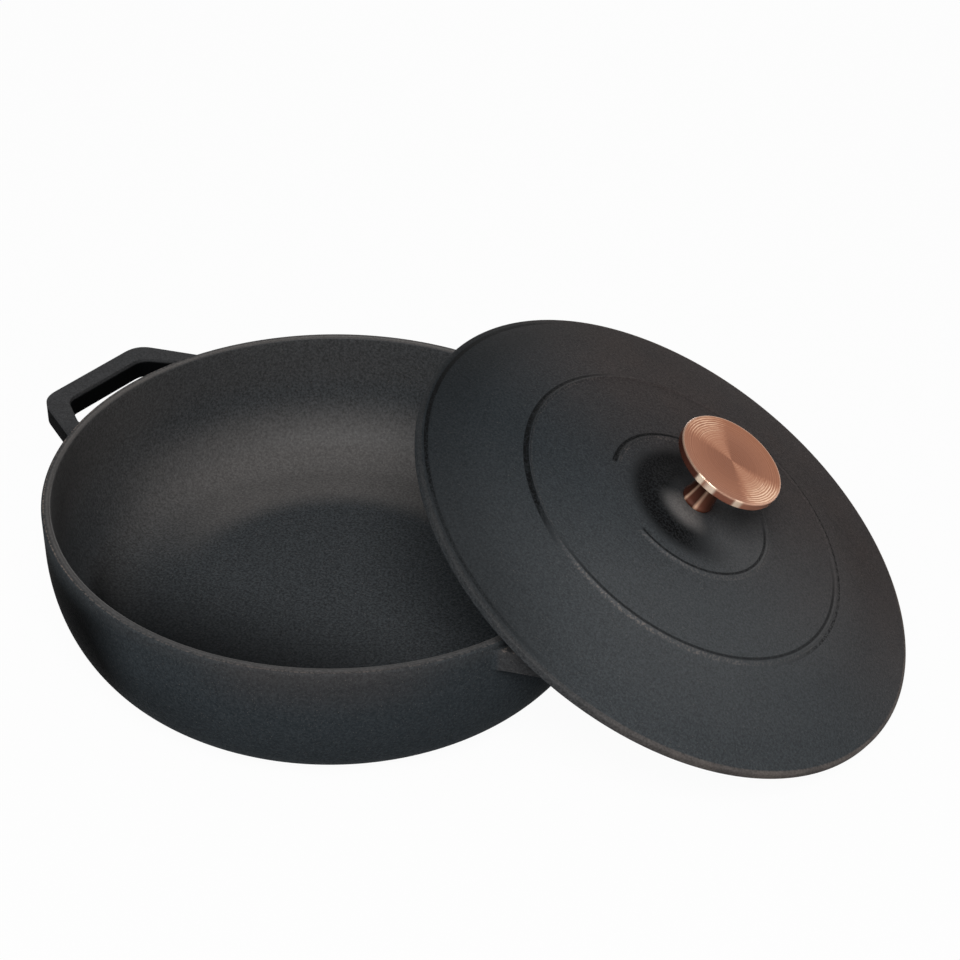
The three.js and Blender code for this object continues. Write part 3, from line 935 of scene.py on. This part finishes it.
class CASSEROLE_OT_pot(bpy.types.Operator):
    """Builds the pot with its two loop handles"""

    bl_idname = "casserole.pot"
    bl_label = "Pot"

    def execute(self, context):
        pot, finish = context.scene.pot_sizes, context.scene.casserole_finishes
        inner = pot.rim_radius - pot.wall
        handle_top = pot.height - pot.handle_drop
        mid_reach = pot.rim_radius - pot.base_radius + (pot.floor_inset - pot.wall) / 2
        mid_depth = pot.corner_height - pot.base_thickness / 2

        def marks(t, x, y, z, r, grain):
            """Where the pot is brown, pale, worn, oiled or blackened, each from 0 to 1.

            The pale far corner is painted light; the dark ends of the outer wall, the near floor, the rim's
            left and inner edge and the -X handle's sides are painted shade.
            """
            rim, rim_top = pot.rim_radius, pot.height
            from_axis = t.math("MAXIMUM", r, 0.001)
            near, right = towards(x, y, -55.8), towards(x, y, 34.2)
            far = towards(x, y, 124.2) / from_axis
            far_half = far.rise(-0.2, 0.6)
            far_left = (towards(x, y, 168) / from_axis).rise(0.2, 0.8)
            left = right.rise(-0.085, -0.130)

            over = t.math("MAXIMUM", r - (pot.base_radius - pot.floor_inset / 2), 0.0) / mid_reach
            under = t.math("MAXIMUM", pot.corner_height - z, 0.0) / mid_depth
            through = over * over + under * under
            hollow, outside = through.rise(1.04, 0.96), through.rise(0.96, 1.04)
            floor = z.rise(0.020, 0.010)
            loop = r.rise(rim + 0.0008, rim + 0.0020)
            loop_side = z.rise(handle_top - 0.0016, handle_top - 0.0030)

            top = z.rise(rim_top - 0.0010, rim_top - 0.0003)
            band = r.band(inner + 0.0006, rim - 0.0016, 0.0004)
            line = r.band(rim - 0.0013, rim - 0.0009, 0.0002) * grain.rise(0.38, 0.60)
            inside_edge = r.rise(inner - 0.002, inner - 0.001) * r.rise(inner + 0.0026, inner + 0.0010)
            # Dark speckled line along the rim's inner edge: speckled, and stronger on the near side as
            # painted shade.
            inside_edge_shade = inside_edge * (0.52 - 0.30 * far_half) * (0.5 + 0.5 * grain.rise(0.40, 0.58))
            # The rim's top darker on the left: painted shade.
            rim_shade = z.rise(rim_top - 0.0014, rim_top - 0.0006) * (inside_edge_shade + 0.10 * left * band)
            rim_pale = top * band * (0.20 + 0.16 * far_half + 0.06 * left)
            rim_worn = top * (0.04 * band * (1 + far_half) + line * (0.22 + 0.40 * left))

            lit_corner = r.rise(0.072, 0.092) * z.rise(0.046, 0.019) * far.rise(0.08, 0.88)
            hollow_pale = hollow * (
                0.27 * z.rise(0.030, 0.060)
                + 0.16 * floor
                + 0.25 * left
                + 0.13 * z.rise(0.020, 0.050) * far_left
                + 0.72 * lit_corner
            )
            # The near part of the floor darker, where the near wall shades it: painted shadow.
            front_shadow = floor * (near - 0.35 * right).rise(0.005, 0.085)
            # Darker low on the left inside: painted shade.
            left_foot_shade = right.rise(-0.100, -0.130) * z.rise(0.040, 0.015)
            hollow_shade = hollow * (0.85 * front_shadow + 0.2 * left_foot_shade)

            wall_brown = outside * z.rise(0.045, 0.072) * right.band(-0.02, 0.03, 0.04)
            wall_pale = outside * (0.04 * z.rise(0.050, 0.072) + 0.10 * z.rise(0.067, 0.0735))
            # Darkened right and left ends of the outer wall and its lower left: painted shade; the right end
            # stands for the shadow under the handle and lid.
            right_end_shadow = right.rise(0.090, 0.120)
            left_end_shade = right.rise(-0.076, -0.110) * near.rise(-0.060, -0.010)
            left_low_shade = right.rise(-0.03, -0.090) * z.rise(0.062, 0.032)
            ends = (0.75 * right_end_shadow + 0.96 * left_end_shade) * z.rise(0.080, 0.060)
            wall_shade = outside * (ends + 0.32 * left_low_shade)

            covered = x.rise(0.05, 0.10)
            loop_pale = loop * (0.06 * (1 - loop_side) + 0.10 * covered)
            loop_root = r.rise(rim + 0.015, rim + 0.007) * z.rise(handle_top - 0.002, handle_top)
            loop_worn = loop * covered * loop_root * grain.rise(0.52, 0.64)
            # Blackened sides of the -X handle: painted shade.
            shaded_handle_side = x.rise(0.05, -0.05) * (0.55 + 0.45 * x.rise(-0.169, -0.164))
            loop_side_shade = loop * loop_side * shaded_handle_side
            return {
                "even": 0.45 * outside,
                "brown": 0.35 * wall_brown + 0.3 * loop,
                "pale": rim_pale + hollow_pale + wall_pale + loop_pale,
                "worn": rim_worn + 0.4 * loop_worn,
                "oiled": hollow * (0.42 - 0.35 * floor),
                "soot_and_shade": t.math("MINIMUM", 0.985, loop_side_shade + hollow_shade + wall_shade + rim_shade),
            }

        material = iron_material("pot_cast_iron", finish, finish.pale, None, marks, size=760, soft=0.20)
        turned = piece_tree("Pot bowl", (turned_tree(), {}))
        points = [(r, z, 0.0) for r, z in bowl_profile(pot)]
        bowl = grown("pot", points, turned, segments=288, material=material)
        for turn in (0, math.pi):
            loop = handle_piece(pot)
            loop.data.transform(Matrix.Rotation(turn, 4, "Z"))
            join = bowl.modifiers.new("Handle", "BOOLEAN")
            join.operation = "UNION"
            join.solver = "EXACT"
            join.object = loop
            applied(bowl)
            bpy.data.objects.remove(loop)
        face_outwards(bowl.data)
        bowl.data.materials.clear()
        bowl.data.materials.append(material)
        bowl.data.polygons.foreach_set("material_index", [0] * len(bowl.data.polygons))
        bowl.data.shade_smooth()
        bowl.data.set_sharp_from_angle(angle=math.radians(38))
        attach(bowl, "pot")
        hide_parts("pot_body")
        return {"FINISHED"}


class CASSEROLE_OT_lid(bpy.types.Operator):
    """Builds the domed lid with its raised rings"""

    bl_idname = "casserole.lid"
    bl_label = "Lid"

    def execute(self, context):
        lid, finish = context.scene.lid_sizes, context.scene.casserole_finishes
        lean = lid_lean(lid)

        def marks(t, x, y, z, r, grain):
            """Where the lid is brown, pale, worn, oiled or blackened, each from 0 to 1.

            The lines along the rings and inside the left edge are painted highlights and shade, the dark
            ring round the hill and the darker left and back margins are painted shade, the hill's bright
            side and the paler lower side are painted light, and the browner far side is painted warm light.
            """
            above = z.rise(-0.002, 0.001)
            right, lower = towards(x, y, 38.4), towards(x, y, -50)
            far = y - 0.35 * t.math("MAXIMUM", r - 0.08, 0.0)
            margin = towards(x, y, 215) / r
            along = towards(x, y, -35) / r
            upper_left = (towards(x, y, 195) / r).rise(0.75, 1.0)
            leftmost = (towards(x, y, 203) / r + 0.10 * (grain - 0.5)).rise(0.56, 0.86)

            gap = t.math("COSINE", t.math("ARCTAN2", y, x) - lid.gap_at)
            gap_end, run_out = math.cos(lid.gap_angle / 2), 0.012
            shown = gap.rise(gap_end + run_out, gap_end - run_out)
            speckled = 0.35 + 0.65 * right.rise(0.05, -0.03)
            half_ring = lid.ring_width / 2
            # Lines along the rings: light ones are painted highlights and dark ones painted shade, on sides
            # that swap round each ring.
            light, dark = 0.0, 0.0
            for radius, seen, fore, back, glint in (
                (lid.outer_ring, 0.90, along.rise(0.20, 0.60), leftmost, speckled),
                (lid.inner_ring, shown, along.rise(0.02, 0.45), along.rise(-0.02, -0.20), 0.4),
            ):
                off = (r - radius) / half_ring
                crest_highlight = off.band(0.2, 1.2, 0.5) * fore * glint + 0.4 * off.band(-1.2, -0.3, 0.4) * back
                crease_shade = 0.85 * off.band(-1.6, -1.0, 0.5) * fore + off.band(0.4, 1.9, 0.4) * back
                light = light + crest_highlight * seen
                dark = dark + crease_shade * seen
            # A dark line outside the outer ring on the right, and a ragged dark line inside the lid's left
            # edge: painted shade.
            beyond_ring_shade = ((r - lid.outer_ring) / half_ring).band(1.2, 2.0, 0.4)
            dark = dark + 0.8 * beyond_ring_shade * right.rise(0.03, 0.08) * grain.rise(0.44, 0.54)
            inset_line = r.band(lid.radius - 0.0041, lid.radius - 0.0033, 0.0009)
            jagged_edge_shade = inset_line * (0.35 + 0.65 * grain.rise(0.42, 0.56))
            dark = dark + jagged_edge_shade * (0.95 * upper_left + 0.40 * margin.rise(0.35, 0.75))

            rough_edge = (r + 0.0006 * grain).rise(lid.radius - 0.0018, lid.radius - 0.0010)
            edge = rough_edge * z.rise(-lid.edge + 0.0002, -lid.edge + 0.0010)
            # A dark ring round the knob's hill on the near-left side is painted shade; the hill's bright
            # near side is a painted highlight, and the place right of the knob is painted light.
            moat_shade_side = (towards(x, y, 220) / r).rise(-0.75, 0.45)
            moat_shade = r.band(0.0180, 0.0290, 0.0100) * moat_shade_side * (0.58 + 0.42 * grain.rise(0.36, 0.58))
            flank_highlight = r.band(0.0095, 0.0155, 0.0080) * (towards(x, y, 267) / r).rise(0.40, 1.00)
            inner = r.band(0.0150, 0.0400, 0.0080) * (right / r).rise(0.15, 0.80)
            outer_fore_light = lower.rise(0.075, 0.115) * r.rise(0.130, 0.112)
            middle = towards(x, y, -15).rise(-0.03, 0.05) * r.rise(0.115, 0.085)
            # Paler lower side, middle and place right of the knob, the hill's bright side and the ring
            # lines: painted light.
            pale = (
                0.23 * lower.rise(-0.04, 0.07)
                + 0.10 * outer_fore_light
                + 0.18 * middle
                + 0.82 * flank_highlight
                + 0.20 * light
                + 0.22 * inner
            )
            edge_worn = (0.06 + 0.26 * right.rise(-0.10, 0.02)) * edge
            # Worn speckles on the lit side of the rings: painted glints.
            ring_worn_glints = above * light * grain.rise(0.50, 0.64)
            # Darker left and back margins: painted shade.
            left_margin_shade = r.rise(0.105, 0.135) * margin.rise(0.20, 0.75)
            back_margin_shade = r.rise(0.090, 0.130) * (towards(x, y, 160) / r).rise(0.55, 0.95)
            # Blackened places: the ring and edge lines, the ring round the hill and the darker left side and
            # margins, all painted shade.
            soot_and_shade = (
                0.97 * dark * (0.48 + 0.52 * grain.rise(0.37, 0.55))
                + 0.97 * moat_shade * (1 - flank_highlight)
                + 0.24 * right.rise(-0.05, -0.12)
                + 0.22 * left_margin_shade
                + 0.20 * back_margin_shade
            )
            return {
                "even": 0.20,
                # Browner towards the far side: painted warm light.
                "brown": 0.95 * far.rise(-0.055, 0.070) * above,
                "pale": t.math("MINIMUM", 1.0, above * pale),
                "worn": t.math("MINIMUM", 0.95, edge_worn + 0.35 * ring_worn_glints + 0.19 * flank_highlight),
                "oiled": above * (0.10 + 0.15 * lower.rise(-0.04, 0.09)),
                "soot_and_shade": t.math("MINIMUM", 0.97, above * soot_and_shade),
            }

        material = iron_material("lid_cast_iron", finish, finish.pale_cool, lean, marks, size=900, soft=0.25)
        ring = (
            ring_tree(),
            {
                "Radius": lid.inner_ring,
                "Width": lid.ring_width,
                "Height": lid.ring_height,
                "Gap": lid.gap_angle,
                "Gap at": lid.gap_at,
            },
        )
        tree = piece_tree("Lid", (turned_tree(), {}), ring)
        made = grown("lid_dome", lid_profile(lid), tree, segments=320, material=material, place=lean)
        made.data.shade_smooth()
        made.data.set_sharp_from_angle(angle=math.radians(48))
        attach(made, "lid_assembly")
        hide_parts("lid")
        return {"FINISHED"}


class CASSEROLE_OT_knob(bpy.types.Operator):
    """Builds the turned knob"""

    bl_idname = "casserole.knob"
    bl_label = "Knob"

    def execute(self, context):
        scene = context.scene
        lid, knob = scene.lid_sizes, scene.knob_sizes
        lean = lid_lean(lid)
        foot = seat_height(lid) + knob.foot_gap
        material = copper_material("knob_copper", knob, lean, foot)
        ripples = (
            ripple_tree(),
            {"Pitch": knob.ripple_pitch, "Depth": knob.ripple_depth, "Radius": knob.radius},
        )
        tree = piece_tree("Knob", (turned_tree(), {}), ripples)
        points = knob_profile(knob, foot)
        made = grown("knob_turned", points, tree, segments=192, material=material, place=lean)
        made.data.shade_smooth()
        made.data.set_sharp_from_angle(angle=math.radians(50))
        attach(made, "lid_assembly")
        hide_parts("knob")
        return {"FINISHED"}


class CASSEROLE_OT_fixing(bpy.types.Operator):
    """Finishes the screw and washers under the lid"""

    bl_idname = "casserole.fixing"
    bl_label = "Knob fixing"

    def execute(self, context):
        finish = context.scene.casserole_finishes
        for node, tint in (("knob_screw", 1.0), ("flat_washer", 0.95), ("lock_washer", 0.65)):
            material = steel_material(node + "_steel", finish, tint)
            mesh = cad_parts[node].data
            mesh.materials.clear()
            mesh.materials.append(material)
        return {"FINISHED"}


class CASSEROLE_OT_stage(bpy.types.Operator):
    """Sets the floor, the light and the camera"""

    bl_idname = "casserole.stage"
    bl_label = "Stage"

    def execute(self, context):
        scene = context.scene
        stage = scene.casserole_stage
        self.floor()
        self.world(scene, stage)
        right, ahead, down = self.axes(stage)
        self.camera(scene, stage, right, ahead, down)
        flat = Vector((-ahead.x, -ahead.y, 0)).normalized()
        side = Vector((-flat.y, flat.x, 0))
        target = Vector((0.06, 0.03, 0.05))
        # Name, degrees round from the camera, degrees up, distance and size in m, power in W, colour.
        lamps = (
            ("key", 2, 52, 1.7, 0.8, 22.5, (1.0, 0.985, 0.975)),
            ("fill", -48, 48, 1.9, 1.2, 6.0, (0.90, 0.97, 1.0)),
            ("back", 178, 12, 1.9, 0.7, 10.0, (1.0, 0.99, 0.97)),
        )
        for name, around, above, far, size, power, shade in lamps:
            a, e = math.radians(around), math.radians(above)
            way = (flat * math.cos(a) + side * math.sin(a)) * math.cos(e) + Vector((0, 0, math.sin(e)))
            data = bpy.data.lights.new(name, "AREA")
            data.shape = "DISK"
            data.size = size
            data.energy = power
            data.color = shade
            lamp = bpy.data.objects.new(name, data)
            lamp.location = target + way * far
            lamp.rotation_euler = (-way).to_track_quat("-Z", "Y").to_euler()
            lamp.visible_camera = False
            scene.collection.objects.link(lamp)
        scene.view_settings.view_transform = "Standard"
        return {"FINISHED"}

    @staticmethod
    def floor():
        mesh = bpy.data.meshes.new("floor")
        reach, low = 40.0, -0.0003
        corners = [(-reach, -reach, low), (reach, -reach, low), (reach, reach, low), (-reach, reach, low)]
        mesh.from_pydata(corners, [], [(0, 1, 2, 3)])
        material, t = new_material("floor_white")
        matt = t.node("ShaderNodeBsdfDiffuse", None, {"Color": (0.70, 0.70, 0.70, 1.0)})
        white = t.node("ShaderNodeEmission", None, {"Color": (1.0, 1.0, 1.0, 1.0), "Strength": 1.0})
        both = t.node("ShaderNodeMixShader", None, {0: looked_at(t) * FLOOR_WHITE, 1: matt, 2: white})
        t.node("ShaderNodeOutputMaterial", None, {"Surface": both})
        mesh.materials.append(material)
        made = bpy.data.objects.new("floor", mesh)
        bpy.context.scene.collection.objects.link(made)

    @staticmethod
    def world(scene, stage):
        world = bpy.data.worlds.new("studio")
        world.use_nodes = True
        world.node_tree.nodes.clear()
        t = Term(world.node_tree)
        even = t.node(
            "ShaderNodeBackground", None, {"Color": (0.93, 0.97, 1.0, 1.0), "Strength": stage.ambient}
        )
        white = t.node("ShaderNodeBackground", None, {"Color": (1.0, 1.0, 1.0, 1.0), "Strength": 1.0})
        both = t.node("ShaderNodeMixShader", None, {0: looked_at(t), 1: even, 2: white})
        t.node("ShaderNodeOutputWorld", None, {"Surface": both})
        scene.world = world

    @staticmethod
    def axes(stage):
        """The camera's right, forward and down directions."""
        p, roll = stage.pitch, stage.roll
        right = Vector((1, 0, 0))
        ahead = Vector((0, math.cos(p), -math.sin(p)))
        down = Vector((0, -math.sin(p), -math.cos(p)))
        rolled = right * math.cos(roll) + down * math.sin(roll)
        under = down * math.cos(roll) - right * math.sin(roll)
        turn = Matrix.Rotation(stage.turn, 3, "Z")
        return turn @ rolled, turn @ ahead, turn @ under

    @staticmethod
    def camera(scene, stage, right, ahead, down):
        data = bpy.data.cameras.new("camera")
        data.lens = stage.focal
        data.sensor_width = 36
        data.clip_start, data.clip_end = 0.01, 50
        made = bpy.data.objects.new("camera", data)
        facing = Matrix((right, -down, -ahead)).transposed()
        made.matrix_world = Matrix.Translation(Vector(stage.eye)) @ facing.to_4x4()
        scene.collection.objects.link(made)
        scene.camera = made


class CASSEROLE_PT_panel(bpy.types.Panel):
    """Lists the pieces and their sizes"""

    bl_idname = "CASSEROLE_PT_panel"
    bl_label = "Casserole"
    bl_space_type = "VIEW_3D"
    bl_region_type = "UI"
    bl_category = "Casserole"

    def draw(self, context):
        layout = self.layout
        for operator in OPERATORS:
            layout.operator(operator.bl_idname, text=operator.bl_label)
        for group in SETTINGS:
            box = layout.box()
            values = getattr(context.scene, group)
            for name in values.__annotations__:
                box.prop(values, name)


OPERATORS = (CASSEROLE_OT_pot, CASSEROLE_OT_lid, CASSEROLE_OT_knob, CASSEROLE_OT_fixing, CASSEROLE_OT_stage)
SETTINGS = {
    "pot_sizes": PotSizes,
    "lid_sizes": LidSizes,
    "knob_sizes": KnobSizes,
    "casserole_finishes": Finishes,
    "casserole_stage": StageSizes,
}


def register():
    for group in SETTINGS.values():
        bpy.utils.register_class(group)
    for name, group in SETTINGS.items():
        setattr(bpy.types.Scene, name, bpy.props.PointerProperty(type=group))
    for operator in OPERATORS:
        bpy.utils.register_class(operator)
    bpy.utils.register_class(CASSEROLE_PT_panel)


def unregister():
    bpy.utils.unregister_class(CASSEROLE_PT_panel)
    for operator in reversed(OPERATORS):
        bpy.utils.unregister_class(operator)
    for name in SETTINGS:
        delattr(bpy.types.Scene, name)
    for group in reversed(SETTINGS.values()):
        bpy.utils.unregister_class(group)


def main():
    register()
    bpy.ops.casserole.pot()
    bpy.ops.casserole.lid()
    bpy.ops.casserole.knob()
    bpy.ops.casserole.fixing()
    bpy.ops.casserole.stage()
    bpy.context.view_layer.update()


if __name__ == "__main__":
    main()
